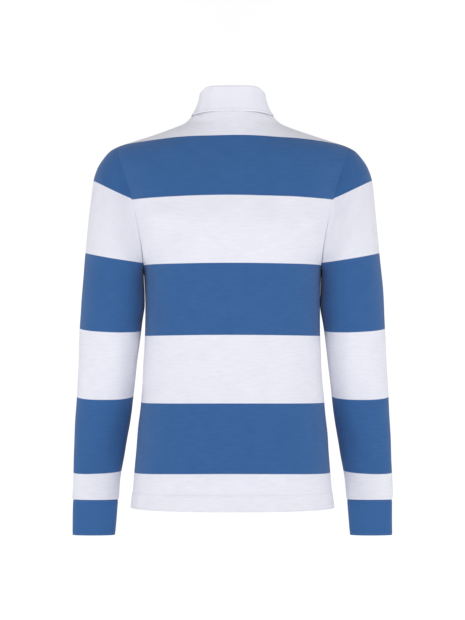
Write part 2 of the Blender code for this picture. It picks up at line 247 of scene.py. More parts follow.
def armhole(turn, side):
    """Level and angle of the armhole seam; turn 0 is the shoulder point, 180 the underarm."""
    middle = (SHOULDER_POINT + UNDERARM) / 2
    level = middle + (SHOULDER_POINT - UNDERARM) / 2 * np.cos(turn)
    breadth = ARMHOLE_BACK if side > 0 else ARMHOLE_FRONT
    swell = 1 - ARMHOLE_SWELL * np.cos(turn)
    y = breadth * np.clip(np.sin(turn), 0, 1) ** ARMHOLE_BLUNT * swell
    depth = smooth(BODY, "back" if side > 0 else "front", level)
    return level, np.arccos((y / depth) ** (smooth(BODY, "squareness", level) / 2))


def panel_rows(side):
    """The side edge of a panel from the hem up: level and angle of each row's end."""
    above_hem = [0, 0.6, 6, 12, 18, 24, 27, 28.2, 29.2, 30.2, 31.2, 32.4, 34]
    below = [HEM + rise for rise in above_hem]
    below += list(np.linspace(HEM + 38, UNDERARM, 86)[:-1])
    turn = np.linspace(math.pi, 0, ARMHOLE_STEPS + 1)
    level, angle = armhole(turn, side)
    ridge = np.linspace(SHOULDER_POINT, NECK_SIDE, 28)[1:-1]
    top = [NECK_SIDE - 0.5, NECK_SIDE]
    levels = np.concatenate([below, level, ridge, top])
    square = math.pi / 2
    angles = np.concatenate([np.full(len(below), square), angle, np.full(len(ridge) + 2, square)])
    return levels, angles


def normals(grid, closed=False):
    """Outward unit normals of a cloth grid."""
    up = np.gradient(grid, axis=0)
    if closed:
        right = np.roll(grid, -1, axis=1) - np.roll(grid, 1, axis=1)
    else:
        right = np.gradient(grid, axis=1)
    normal = np.cross(right, up)
    return normal / np.linalg.norm(normal, axis=2, keepdims=True)


def creased(creases, across, height):
    """How far the cloth stands out at a place, from all the creases near it."""
    total = np.zeros(np.broadcast(across, height).shape)
    for crease in creases:
        run_x = crease.to_across - crease.across
        run_z = crease.to_height - crease.height
        share = (across - crease.across) * run_x + (height - crease.height) * run_z
        share = np.clip(share / (run_x ** 2 + run_z ** 2), 0, 1)
        gap = np.hypot(across - crease.across - share * run_x,
                       height - crease.height - share * run_z)
        fade = np.sin(np.pi * (0.15 + 0.7 * share))
        total += crease.depth * fade * np.exp(-(gap / crease.width) ** 2)
    return total


def rumple(across, height, seed, size=0.8):
    """The slight unevenness that lies in any cloth, up to about its size in millimetres."""
    draw = np.random.default_rng(seed)
    total = np.zeros(np.broadcast(across, height).shape)
    for wave in range(7):
        length = draw.uniform(60, 170)
        heading = draw.uniform(0, math.pi)
        phase = draw.uniform(0, 2 * math.pi)
        along = across * math.cos(heading) + height * math.sin(heading)
        total += np.sin(2 * math.pi * along / length + phase)
    return total * size / 2.6


def hoop_number(height, edges, first):
    """Counts the hoops downward: whole numbers at the edges, which may vary across."""
    spare = 150.0
    edges = [edges[0] + spare] + edges + [edges[-1] - spare]
    number = first - 1
    for upper, lower in zip(edges, edges[1:]):
        number = number + np.clip((upper - height) / (upper - lower), 0, 1)
    return number


def row_lengths(grid):
    """Distance along each row from its first point."""
    steps = np.linalg.norm(np.diff(grid, axis=1), axis=2)
    return np.concatenate([np.zeros((len(grid), 1)), np.cumsum(steps, axis=1)], axis=1)


def column_lengths(grid):
    """Distance up each column from its first point."""
    climb = np.linalg.norm(np.diff(grid, axis=0), axis=2)
    return np.concatenate([np.zeros((1, grid.shape[1])), np.cumsum(climb, axis=0)])


def make_shell(name, grid, thickness, finish, closed=False, hoop=None, hole=None, free=1.0):
    """A closed cloth shell inwards from a grid, with its hoops and a cloth map in metres.

    free is 1 where an edge is folded and thins out, and 0 where it is sewn to another.
    """
    rows, columns = grid.shape[:2]
    normal = normals(grid, closed)
    thick = np.asarray(thickness, float).reshape(-1, 1) * np.ones((rows, columns))
    thin = np.zeros((rows, columns))
    thin[[0, -1]] = 1
    if not closed:
        thin[:, [0, -1]] = 1
    tuck = normal * (thin * free * thick * (1 - EDGE_THIN) / 2)[:, :, None]
    outer = grid - tuck
    inner = grid - normal * thick[:, :, None] + tuck
    points = np.concatenate([outer.reshape(-1, 3), inner.reshape(-1, 3)]) * METRE

    wrapped = np.concatenate([grid, grid[:, :1]], axis=1) if closed else grid
    across = row_lengths(wrapped)
    across -= across[:, [wrapped.shape[1] // 2]]
    middle = wrapped[:, wrapped.shape[1] // 2]
    along = row_lengths(middle[None])[0]
    cloth_map = np.stack([across, np.broadcast_to(along[:, None], across.shape)], -1) * METRE

    faces, corners, border = [], [], {}
    under = rows * columns
    for r in range(rows - 1):
        for c in range(wrapped.shape[1] - 1):
            if hole and hole(r, c):
                continue
            loop = [(r, c), (r, c + 1), (r + 1, c + 1), (r + 1, c)]
            index = [row * columns + column % columns for row, column in loop]
            faces += [index, [under + i for i in index[::-1]]]
            corners += loop + loop[::-1]
            for i in range(4):
                start, end = index[i], index[(i + 1) % 4]
                if (end, start) in border:
                    del border[(end, start)]
                else:
                    border[(start, end)] = (loop[i], loop[(i + 1) % 4])
    for (start, end), (first, second) in border.items():
        faces.append([end, start, under + start, under + end])
        corners += [second, first, first, second]
    mesh = bpy.data.meshes.new(name)
    mesh.from_pydata(points.tolist(), [], faces)
    layer = mesh.uv_layers.new(name="cloth")
    at = np.array(corners)
    layer.data.foreach_set("uv", cloth_map[at[:, 0], at[:, 1]].ravel())
    if hoop is not None:
        number = np.broadcast_to(hoop, (rows, columns)).ravel()
        attribute = mesh.attributes.new("hoop", "FLOAT", "POINT")
        attribute.data.foreach_set("value", np.concatenate([number, number]))
    mesh.materials.append(finish.material)
    mesh.shade_smooth()
    mesh.set_sharp_from_angle(angle=math.radians(60))
    return add_object(name, mesh)


class Tree:
    """A node tree whose nodes are all made by one method."""

    def __init__(self, tree):
        self.tree = tree

    def feed(self, socket, value):
        source = getattr(value, "socket", value)
        if isinstance(source, bpy.types.NodeSocket):
            self.tree.links.new(source, socket)
        else:
            socket.default_value = source

    def node(self, kind, settings=None, inputs=None):
        made = self.tree.nodes.new(kind)
        for name, value in (settings or {}).items():
            setattr(made, name, value)
        for key, value in (inputs or {}).items():
            self.feed(made.inputs[key], value)
        return made


class Value:
    """A number that varies over a surface; arithmetic on it adds the Math nodes."""

    def __init__(self, tree, socket):
        self.tree = tree
        self.socket = socket

    def reckon(self, operation, *terms):
        node = self.tree.node("ShaderNodeMath", {"operation": operation}, dict(enumerate(terms)))
        return Value(self.tree, node.outputs[0])

    def __add__(self, other):
        return self.reckon("ADD", self, other)

    __radd__ = __add__

    def __sub__(self, other):
        return self.reckon("SUBTRACT", self, other)

    def __rsub__(self, other):
        return self.reckon("SUBTRACT", other, self)

    def __mul__(self, other):
        return self.reckon("MULTIPLY", self, other)

    __rmul__ = __mul__

    def __truediv__(self, other):
        return self.reckon("DIVIDE", self, other)

    def __abs__(self):
        return self.reckon("ABSOLUTE", self)

    def sine(self):
        return self.reckon("SINE", self)

    def fraction(self):
        return self.reckon("FRACT", self)

    def clamped(self):
        return self.reckon("MINIMUM", self.reckon("MAXIMUM", self, 0.0), 1.0)


class Finish(Tree):
    """A cloth or other surface: one material, with its cloth map split into two numbers."""

    def __init__(self, name, roughness, sheen=0.0):
        self.material = bpy.data.materials.new(name)
        self.material.use_nodes = True
        super().__init__(self.material.node_tree)
        self.shader = self.tree.nodes["Principled BSDF"]
        self.shader.inputs["Roughness"].default_value = roughness
        self.shader.inputs["Sheen Weight"].default_value = sheen
        self.shader.inputs["Sheen Roughness"].default_value = 0.55
        self.shader.inputs["Specular IOR Level"].default_value = 0.25

    def cloth_map(self):
        spot = self.node("ShaderNodeUVMap", {"uv_map": "cloth"}).outputs[0]
        split = self.node("ShaderNodeSeparateXYZ", inputs={0: spot})
        return spot, Value(self, split.outputs[0]), Value(self, split.outputs[1])

    def noise(self, spot, scale, detail=2.0):
        node = self.node("ShaderNodeTexNoise", inputs={"Vector": spot, "Scale": scale,
                                                       "Detail": detail})
        return Value(self, node.outputs["Fac"])

    def mix(self, share, first, second):
        node = self.node("ShaderNodeMix", {"data_type": "RGBA"}, {0: share, 6: first, 7: second})
        return node.outputs[2]

    def colour(self, value):
        self.feed(self.shader.inputs["Base Color"], value)

    def relief(self, height, depth, strength=1.0):
        bump = self.node("ShaderNodeBump", inputs={"Height": height, "Distance": depth,
                                                   "Strength": strength})
        self.feed(self.shader.inputs["Normal"], bump.outputs[0])


def knit_relief(across, along):
    """Height of knitted stitches: each column is two slanting legs, a V to each row."""
    leg = abs((across / WALE).fraction() * 2 - 1)
    bow = (leg * math.pi).sine()
    slant = ((along / COURSE + leg * 0.5) * (2 * math.pi)).sine()
    return bow * (slant * 0.35 + 0.65)


def make_jersey(name):
    """Cotton jersey, hooped in white and blue."""
    jersey = Finish(name, roughness=0.92, sheen=0.14)
    spot, across, along = jersey.cloth_map()
    yarn = jersey.noise(spot, 420.0, 3.0)
    cloud = jersey.noise(spot, 26.0, 2.0)
    drawn = jersey.node("ShaderNodeMapping", inputs={"Vector": spot, "Scale": (0.16, 1.0, 1.0)})
    slub = jersey.noise(drawn.outputs[0], 300.0, 3.0)
    tone = ((yarn - 0.5) * 0.9 + (cloud - 0.5) * 0.7 + (slub - 0.5) * 1.5 + 0.5).clamped()
    blue = jersey.mix(tone, BLUE_SHADE, BLUE_LIGHT)
    number = jersey.node("ShaderNodeAttribute", {"attribute_name": "hoop"}).outputs["Fac"]
    wave = (Value(jersey, number) * math.pi).sine()
    in_blue = (wave * HOOP_SHARPNESS + 0.5).clamped()
    jersey.colour(jersey.mix(in_blue, jersey.mix(tone, WHITE_SHADE, WHITE_LIGHT), blue))
    jersey.feed(jersey.shader.inputs["Roughness"], tone * 0.1 + 0.86)
    jersey.relief(knit_relief(across, along) + yarn * 0.7, KNIT_RELIEF, 0.7)
    return jersey


def armhole_dip(height):
    """How far the cloth is drawn in at an armhole seam: hardly at the shoulder."""
    knots = sorted(ARMHOLE_DIP)
    return np.interp(height, knots, [ARMHOLE_DIP[knot] for knot in knots])


def to_seams(grid):
    """Distance of each point of a panel from the seam at its side and from the neck seam."""
    lengths = row_lengths(grid)
    side = np.minimum(lengths, lengths[:, -1:] - lengths)
    return side, column_lengths(grid[::-1])[::-1]


def in_hollow(grid):
    """The cloth sunk along the armhole seams, towards the shirt's middle plane."""
    share = np.clip(grid[:, :, 1] / HOLLOW_FADE, -1, 1)
    sunk = grid.copy()
    sunk[:, :, 1] += share * creased([ARMHOLE_HOLLOW], np.abs(grid[:, :, 0]), grid[:, :, 2])
    return sunk


def panel_grid(side, creases, seed):
    """A panel's outer face, its creases and hem included, and the hoop number over it."""
    levels, angles = panel_rows(side)
    share = np.concatenate([np.linspace(0, 0.997, PANEL_COLUMNS), [1.0]])
    rows = []
    for level, angle in zip(levels, angles):
        half = angle * share
        points = body_point(half, panel_height(level, half, side), side)
        vent = VENT_OPEN * min(max((HEM + VENT - level) / VENT, 0), 1)
        points[:, 1] += side * vent * share ** 8
        rows.append(np.concatenate([points[:0:-1] * (-1, 1, 1), points]))
    grid = np.array(rows)[:, ::-side]
    across, height = grid[:, :, 0], grid[:, :, 2]
    number = hoop_number(height, [hoop.height - hoop.droop * (across / DROOP_WIDTH) ** 2
                                  for hoop in BODY_HOOPS], 0)
    rise = creased(creases, across, height) + rumple(across, height, seed)
    above = levels[:, None] - HEM
    groove = -0.8 * np.exp(-((above - HEM_STITCH) / 1.1) ** 2)
    band = (0.7 + 1.6 * (1 - above / HEM_TURN)) / (1 + np.exp((above - 30) / 0.8))
    side_gap, neck_gap = to_seams(grid)
    rise *= np.clip(np.minimum(side_gap, neck_gap) / STILL, 0, 1)
    at_side = np.where(height > UNDERARM, armhole_dip(height), SIDE_DIP)
    at_side = np.where(levels[:, None] < HEM + VENT - 2, 0, at_side)
    sunk = (at_side * np.exp(-(side_gap / SEAM_REACH) ** 2)
            + SEAM_DIP * np.exp(-(neck_gap / SEAM_REACH) ** 2))
    grid = grid + normals(grid) * (rise + groove + band - sunk)[:, :, None]
    return in_hollow(grid), number


jersey = make_jersey("hooped_jersey_finish")
panel_levels = panel_rows(1)[0]
hem_thickness = [HEM_THICK if level < HEM + HEM_TURN else JERSEY for level in panel_levels]
open_edge = (panel_levels < HEM + VENT).reshape(-1, 1)

back_grid, back_hoops = panel_grid(1, BACK_CREASES, seed=BACK_SEED)
back = make_shell("back", back_grid, hem_thickness, jersey, hoop=back_hoops, free=open_edge)
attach(back, "root")
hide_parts("back_panel")

front_grid, front_hoops = panel_grid(-1, FRONT_CREASES, seed=FRONT_SEED)


def in_slit(row, column):
    """The slit that the placket closes."""
    near = np.abs(front_grid[row, column:column + 2, 0]).max() < SLIT_HALF
    return near and front_grid[row, column, 2] > SLIT_FOOT


front = make_shell("front", front_grid, hem_thickness, jersey, hoop=front_hoops,
                   hole=in_slit, free=open_edge)
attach(front, "root")
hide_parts("front_panel")


# ---------------------------------------------------------------- sleeves
# Long sleeves of the same hooped jersey, set into the armholes, each with one seam along
# the underarm.  They taper to the cuffs and touch the body only just below the underarm.
SLEEVE_COLUMNS = 120
SLEEVE_ROWS = 150
SLEEVE_TURNS = math.pi + 2 * math.pi * np.arange(SLEEVE_COLUMNS) / SLEEVE_COLUMNS

Sleeve = namedtuple("Sleeve", "outer_z outer_x inner_x inner_z half_depth forward squareness seam")
SLEEVE = [
    Sleeve(-53.5, 209.0, 160.0, -274.0, 61, 0, 2.0, 1.00),
    Sleeve(-59.0, 219.5, 160.3, -276.5, 62, 0, 2.0, 0.90),
    Sleeve(-72.5, 232.0, 160.3, -279.0, 63, 0, 2.0, 0.75),
    Sleeve(-91.0, 243.5, 160.2, -282.5, 64, 0, 2.05, 0.55),
    Sleeve(-115.0, 251.0, 160.0, -287.0, 65, 1, 2.1, 0.35),
    Sleeve(-152.0, 255.5, 159.6, -293.0, 65.5, 1, 2.15, 0.18),
    Sleeve(-198.0, 260.0, 159.1, -301.0, 65, 2, 2.2, 0.06),
    Sleeve(-250.0, 265.3, 158.3, -314.0, 63, 3, 2.2, 0.0),
    Sleeve(-305.0, 270.5, 157.7, -336.0, 60, 3, 2.2, 0.0),
    Sleeve(-370.0, 274.3, 163.0, -374.0, 54, 4, 2.2, 0.0),
    Sleeve(-450.0, 278.0, 173.0, -450.0, 47, 7, 2.2, 0.0),
    Sleeve(-525.0, 282.5, 181.5, -525.0, 39.5, 13, 2.2, 0.0),
    Sleeve(-600.0, 286.5, 193.5, -600.0, 31.5, 20, 2.2, 0.0),
    Sleeve(-655.0, 289.0, 203.5, -655.0, 26, 25, 2.2, 0.0),
    Sleeve(-688.0, 290.5, 206.0, -688.0, 23, 28, 2.2, 0.0),
]
# Hoop edges down a sleeve: height at its middle line, that line's place, and how far the
# edge climbs towards the outer side and towards the front
SleeveHoop = namedtuple("SleeveHoop", "height middle roll pitch")
SLEEVE_HOOPS = [
    SleeveHoop(-131.0, 216.0, 0.50, 0.00),
    SleeveHoop(-252.0, 215.0, 0.166, 0.02),
    SleeveHoop(-380.3, 218.0, 0.04, 0.09),
    SleeveHoop(-500.8, 228.0, 0.00, 0.13),
    SleeveHoop(-637.2, 242.0, -0.04, 0.11),
]
LEFT_CREASES = [
    Crease(219, -160, 213, -250, 3.4, 19),
    Crease(256, -225, 262, -252, -1.8, 12),
    Crease(187, -388, 183, -505, -0.8, 10),
    Crease(208, -375, 202, -500, 1.4, 13),
    Crease(232, -300, 236, -360, 1.2, 18),
    Crease(196, -560, 214, -620, -1.2, 14),
]
RIGHT_CREASES = [
    Crease(221, -150, 216, -246, 3.0, 20),
    Crease(255, -215, 262, -246, -1.6, 12),
    Crease(187, -380, 184, -500, -0.8, 10),
    Crease(209, -370, 201, -492, 1.4, 14),
    Crease(240, -290, 236, -352, 1.2, 18),
    Crease(200, -548, 216, -612, -1.2, 14),
]
SLEEVE_FRONT_CREASES = [
    Crease(180, -330, 235, -370, -2.2, 12),
    Crease(176, -360, 228, -405, 1.8, 14),
    Crease(185, -420, 240, -440, -1.6, 12),
]


def sleeve_rings(table, outer_z, turn):
    """Rings of a left sleeve or cuff: turn 0 is its outer line, 90 the back, 180 the inner."""
    read = {name: smooth(table, name, outer_z)[:, None] for name in Sleeve._fields[1:]}
    power = 2 / read["squareness"]
    reach = np.sign(np.cos(turn)) * np.abs(np.cos(turn)) ** power
    depth = np.sign(np.sin(turn)) * np.abs(np.sin(turn)) ** power
    outer = outer_z[:, None]
    x = (read["outer_x"] + read["inner_x"]) / 2 + (read["outer_x"] - read["inner_x"]) / 2 * reach
    z = (outer + read["inner_z"]) / 2 + (outer - read["inner_z"]) / 2 * reach
    return np.stack([x, read["half_depth"] * depth - read["forward"], z], -1)


def armhole_ring(turn):
    """The armhole seam of the wearer's left side at the sleeve's turns."""
    ring = []
    for here in np.mod(turn, 2 * math.pi):
        side = 1 if here <= math.pi else -1
        level, angle = armhole(here if side > 0 else 2 * math.pi - here, side)
        ring.append(body_point(angle, panel_height(level, angle, side), side))
    return np.array(ring)


def even_rows(table, rows):
    """Heights down a sleeve that are evenly spaced along its outer line."""
    fine = np.linspace(table[-1].outer_z, table[0].outer_z, 4000)
    out = smooth(table, "outer_x", fine)
    length = np.concatenate([[0], np.cumsum(np.hypot(np.diff(fine), np.diff(out)))])
    return np.interp(np.linspace(0, length[-1], rows), length, fine)


def sleeve_hoops(points):
    """Hoop number over a sleeve; the hoops lean with it."""
    x, y, z = points[:, :, 0], points[:, :, 1], points[:, :, 2]
    middle, roll, pitch = (smooth(SLEEVE_HOOPS, name, z) for name in ("middle", "roll", "pitch"))
    forward = smooth(SLEEVE, "forward", z)
    level = z - roll * (x - middle) + pitch * (y + forward)
    return hoop_number(level, [np.full(z.shape, hoop.height) for hoop in SLEEVE_HOOPS], 1)


def sleeve_grid(back_creases, front_creases, seed):
    """The left sleeve's outer face from the cuff up, and the hoop number over it."""
    turn = SLEEVE_TURNS
    outer_z = even_rows(SLEEVE, SLEEVE_ROWS)
    outer_z = np.concatenate([outer_z[:-1], [outer_z[-1] - 0.5, outer_z[-1]]])
    top = np.array([SHOULDER_POINT])
    own_shape = armhole_ring(turn) - sleeve_rings(SLEEVE, top, turn)[0]
    share = smooth(SLEEVE, "seam", outer_z)[:, None, None]
    grid = sleeve_rings(SLEEVE, outer_z, turn) + own_shape * share
    number = sleeve_hoops(grid)
    x, y, z = grid[:, :, 0], grid[:, :, 1], grid[:, :, 2]
    facing = np.clip(np.sin(turn) * 3, -1, 1)
    rise = (creased(back_creases, x, z) * np.clip(facing, 0, 1)
            + creased(front_creases, x, z) * np.clip(-facing, 0, 1)
            + rumple(x + y, z, seed, 0.45))
    to_top = column_lengths(grid[::-1])[::-1]
    to_foot = column_lengths(grid)
    lengths = row_lengths(np.concatenate([grid, grid[:, :1]], axis=1))
    to_seam = np.minimum(lengths[:, :-1], lengths[:, -1:] - lengths[:, :-1])
    rise *= np.clip(to_top / STILL, 0, 1)
    sunk = (armhole_dip(z) * np.exp(-(to_top / SEAM_REACH) ** 2)
            + SEAM_DIP * np.exp(-(to_foot / SEAM_REACH) ** 2)
            + SIDE_DIP * np.exp(-(to_seam / SEAM_REACH) ** 2))
    grid = grid + normals(grid, True) * (rise - sunk)[:, :, None]
    return in_hollow(grid), number


def mirrored(grid):
    """The same cloth on the wearer's right, with its columns still running to the right."""
    return (grid * (-1, 1, 1))[:, ::-1]


sleeve_grids = {}
for hand, creases, seed in (("left", LEFT_CREASES, 11), ("right", RIGHT_CREASES, 12)):
    points, number = sleeve_grid(creases, SLEEVE_FRONT_CREASES, seed)
    if hand == "right":
        points, number = mirrored(points), number[:, ::-1]
    sleeve_grids[hand] = points
    sleeve = make_shell("sleeve_%s_cloth" % hand, points, JERSEY, jersey, closed=True,
                        hoop=number, free=0.0)
    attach(sleeve, "root")
    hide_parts("sleeve_" + hand)


# ---------------------------------------------------------------- cuffs
# Bands of blue rib knit, doubled over and sewn to the sleeve ends, with a line of
# stitches round the lower edge.
CUFF_THICK = 2.2
CUFF_STITCH = 3.5           # the line of stitches, above the cuff's edge
RIB_PITCH = 0.0021
CUFF = [
    Sleeve(-688.3, 288.7, 207.0, -688.3, 22.5, 28, 2.2, 0.0),
    Sleeve(-720.0, 289.4, 209.6, -720.0, 20.5, 30.5, 2.2, 0.0),
    Sleeve(-753.0, 290.0, 212.8, -753.0, 19, 33, 2.2, 0.0),
]


def cuff_grid(seed):
    """The left cuff's outer face, its rows closest at the foot and at the seam."""
    foot_rows = [0, 0.6, 1.8, 3, 4, 5, 8]
    seam_rows = [60, 61, 62, 63.6, 64.7]
    up = np.array(foot_rows + list(np.linspace(12, 56, 15)) + seam_rows)
    grid = sleeve_rings(CUFF, CUFF[-1].outer_z + up, SLEEVE_TURNS)
    groove = -0.5 * np.exp(-((up[:, None] - CUFF_STITCH) / 1.0) ** 2)
    sunk = SEAM_DIP * np.exp(-((up[-1] - up[:, None]) / 3) ** 2)
    rise = groove - sunk + rumple(grid[:, :, 0] + grid[:, :, 1], grid[:, :, 2], seed, 0.3)
    return grid + normals(grid, True) * rise[:, :, None]


def make_rib():
    """Blue rib knit: fine ridges that run up the cuff, with painted shade in the valleys between
    them.
    """
    rib = Finish("blue_rib_finish", roughness=0.92, sheen=0.14)
    spot, across, along = rib.cloth_map()
    yarn = rib.noise(spot, 420.0, 3.0)
    tone = ((yarn - 0.5) * 1.2 + 0.5).clamped()
    ridge = (across * (2 * math.pi / RIB_PITCH)).sine() * 0.5 + 0.5
    course = (along * (2 * math.pi / COURSE)).sine() * 0.15
    # Colour is random yarn tone plus painted shade: the valleys between the ridges are painted
    # darker, and the ridge tops lighter.
    rib.colour(rib.mix((tone * 0.7 + ridge * 0.3).clamped(), BLUE_SHADE, BLUE_LIGHT))
    rib.relief(ridge + course + yarn * 0.4, 0.0003, 0.6)
    return rib


rib = make_rib()
cuff_grids = {}
for hand, seed in (("left", 21), ("right", 22)):
    points = cuff_grid(seed)
    cuff_grids[hand] = mirrored(points) if hand == "right" else points
    foot_only = np.zeros((len(points), 1))
    foot_only[0] = 1
    cuff = make_shell("cuff_%s_band" % hand, cuff_grids[hand], CUFF_THICK, rib, closed=True,
                      free=foot_only)
    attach(cuff, "root")
    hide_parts("cuff_" + hand)


# ---------------------------------------------------------------- hem and cuff stitching
# Lockstitches in cotton thread, white round the hem and blue round the cuffs.  Each stitch
# is a short length of thread lying half sunk in the cloth.
STITCH_PITCH = 3.0
STITCH_LENGTH = 2.4
THREAD = 0.55
WHITE_THREAD = (0.80, 0.81, 0.85, 1.0)
BLUE_THREAD = (0.085, 0.19, 0.42, 1.0)


def make_stitch_tree():
    """Lays stitches end to end along the lines of a mesh."""
    group = bpy.data.node_groups.new("stitches", "GeometryNodeTree")
    named = {}
    for name, kind in (("Lines", "NodeSocketGeometry"), ("Pitch", "NodeSocketFloat"),
                       ("Length", "NodeSocketFloat"), ("Thickness", "NodeSocketFloat"),
                       ("Thread", "NodeSocketMaterial")):
        named[name] = group.interface.new_socket(name, in_out="INPUT", socket_type=kind).identifier
    group.interface.new_socket("Stitches", in_out="OUTPUT", socket_type="NodeSocketGeometry")
    tree = Tree(group)
    given = tree.node("NodeGroupInput").outputs
    line = tree.node("GeometryNodeMeshToCurve", inputs={"Mesh": given["Lines"]})
    spaced = tree.node("GeometryNodeResampleCurve", {"mode": "LENGTH"},
                       {"Curve": line.outputs[0], "Length": given["Pitch"]})
    thread = tree.node("GeometryNodeMeshUVSphere", inputs={"Segments": 6, "Rings": 5,
                                                           "Radius": 0.5})
    heading = tree.node("FunctionNodeAlignRotationToVector", {"axis": "Z"},
                        {"Vector": tree.node("GeometryNodeInputTangent").outputs[0]})
    size = tree.node("ShaderNodeCombineXYZ", inputs={0: given["Thickness"], 1: given["Thickness"],
                                                     2: given["Length"]})
    laid = tree.node("GeometryNodeInstanceOnPoints",
                     inputs={"Points": spaced.outputs[0], "Instance": thread.outputs["Mesh"],
                             "Rotation": heading.outputs[0], "Scale": size.outputs[0]})
    real = tree.node("GeometryNodeRealizeInstances", inputs={0: laid.outputs[0]})
    done = tree.node("GeometryNodeSetMaterial", inputs={"Geometry": real.outputs[0],
                                                        "Material": given["Thread"]})
    tree.node("NodeGroupOutput", inputs={0: done.outputs[0]})
    return group, named


stitch_tree, stitch_inputs = make_stitch_tree()


def sew(name, lines, thread, closed=False, pitch=STITCH_PITCH):
    """One piece of all the stitches along some lines of points."""
    points = np.concatenate(lines) * METRE
    edges, start = [], 0
    for line in lines:
        edges += [(start + i, start + i + 1) for i in range(len(line) - 1)]
        if closed:
            edges.append((start + len(line) - 1, start))
        start += len(line)
    guide = bpy.data.meshes.new(name)
    guide.from_pydata(points.tolist(), edges, [])
    carrier = add_object(name, guide)
    modifier = carrier.modifiers.new("stitches", "NODES")
    modifier.node_group = stitch_tree
    length = STITCH_LENGTH / STITCH_PITCH * pitch
    for label, value in (("Pitch", pitch * METRE), ("Length", length * METRE),
                         ("Thickness", THREAD * METRE), ("Thread", thread.material)):
        modifier[stitch_inputs[label]] = value
    evaluated = carrier.evaluated_get(bpy.context.evaluated_depsgraph_get())
    mesh = bpy.data.meshes.new_from_object(evaluated)
    mesh.shade_smooth()
    carrier.modifiers.clear()
    carrier.data = mesh
    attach(carrier, "root")
    return carrier


def row_line(grid, row, lift=0.1, closed=False):
    """The line of a grid at a row, which may lie between two, just above the cloth."""
    low = int(row)
    share = row - low
    raised = grid + normals(grid, closed) * lift
    return raised[low] * (1 - share) + raised[min(low + 1, len(grid) - 1)] * share


def make_thread(name, tint):
    """Cotton thread, a little paler in places."""
    thread = Finish(name, roughness=0.7, sheen=0.2)
    spot = thread.node("ShaderNodeTexCoord").outputs["Object"]
    tone = thread.noise(spot, 900.0)
    pale = tuple(min(1.0, part * 1.12) for part in tint[:3]) + (1.0,)
    thread.colour(thread.mix(tone, tint, pale))
    thread.relief(tone, 0.0001)
    return thread


white_thread = make_thread("white_thread_finish", WHITE_THREAD)
blue_thread = make_thread("blue_thread_finish", BLUE_THREAD)
hem_row = float(np.interp(HEM + HEM_STITCH, panel_levels[:20], np.arange(20)))
sew("hem_stitches", [row_line(back_grid, hem_row)[1:-1], row_line(front_grid, hem_row)[1:-1]],
    white_thread)
for hand, points in cuff_grids.items():
    sew("cuff_%s_stitches" % hand, [row_line(points, 3.5, closed=True),
                                    row_line(points, len(points) - 3, closed=True)],
        blue_thread, closed=True)


# ---------------------------------------------------------------- collar
# A two-piece collar of white cotton twill.  The stand rises from the neck seam, and the
# leaf rolls over it and falls outside, with a line of stitches along its edge.
TWILL = 1.8
ROLL = 3.1
SEAM_GAP = 0.3
FALL_INSIDE = 12.0
FRONT_GAP_TURN = 2.0
NECK_STEPS = 90
COLLAR_STITCH = 6.0
TWILL_STITCH = 2.6          # pitch of the finer stitches in the twill
TWILL_PITCH = 0.0009

Collar = namedtuple("Collar", "turn fold_x fold_y fold_z edge_x edge_y edge_z swing")
COLLAR = [
    Collar(0, 0.0, 49.5, 54.2, 0.0, 61.3, 8.5, 0.30),
    Collar(30, 29.0, 46.0, 54.2, 36.6, 53.8, 8.0, 0.28),
    Collar(45, 41.5, 39.0, 53.4, 52.3, 44.0, 6.8, 0.20),
    Collar(60, 51.0, 29.0, 48.6, 65.4, 30.5, 4.8, 0.20),
    Collar(90, 56.5, -1.0, 43.0, 74.6, -2.0, 3.9, 0.22),
    Collar(110, 55.5, -20.0, 34.0, 74.4, -25.0, -4.5, 0.28),
    Collar(122, 51.5, -31.0, 23.5, 73.5, -44.0, -16.0, 0.33),
    Collar(135, 45.5, -41.0, 12.0, 69.5, -55.0, -31.0, 0.40),
    Collar(155, 26.5, -53.5, -6.0, 59.0, -73.0, -56.0, 0.50),
    Collar(180, 1.5, -60.0, -16.0, 44.0, -91.0, -82.0, 0.55),
]
TWILL_SHADE = (0.775, 0.780, 0.860, 1.0)
TWILL_LIGHT = (0.850, 0.855, 0.925, 1.0)


def make_twill():
    """White cotton twill: fine slanting ribs."""
    twill = Finish("white_twill_finish", roughness=0.85, sheen=0.04)
    spot, across, along = twill.cloth_map()
    yarn = twill.noise(spot, 500.0, 3.0)
    tone = ((yarn - 0.5) * 1.3 + 0.5).clamped()
    twill.colour(twill.mix(tone, TWILL_SHADE, TWILL_LIGHT))
    wale = ((across + along) * (2 * math.pi / TWILL_PITCH)).sine() * 0.5 + 0.5
    twill.relief(wale + yarn * 0.8, 0.00015, 0.6)
    return twill


def collar_line(prefix, turn):
    """A line of the collar's table at signed turns, mirrored about the centre back."""
    across = smooth(COLLAR, prefix + "_x", np.abs(turn)) * np.sign(turn)
    depth = smooth(COLLAR, prefix + "_y", np.abs(turn))
    height = smooth(COLLAR, prefix + "_z", np.abs(turn))
    return np.stack([across, depth, height], -1)


def neck_line(turn):
    """The neck seam on the torso, at signed turns from the centre back."""
    across = smooth(NECK, "across", np.abs(turn))
    height = smooth(NECK, "height", np.abs(turn))
    angle = angle_across(across, height)
    points = np.where(np.abs(turn)[:, None] <= 90, body_point(angle, height, 1),
                      body_point(angle, height, -1))
    points[:, 0] *= np.sign(turn)
    return points


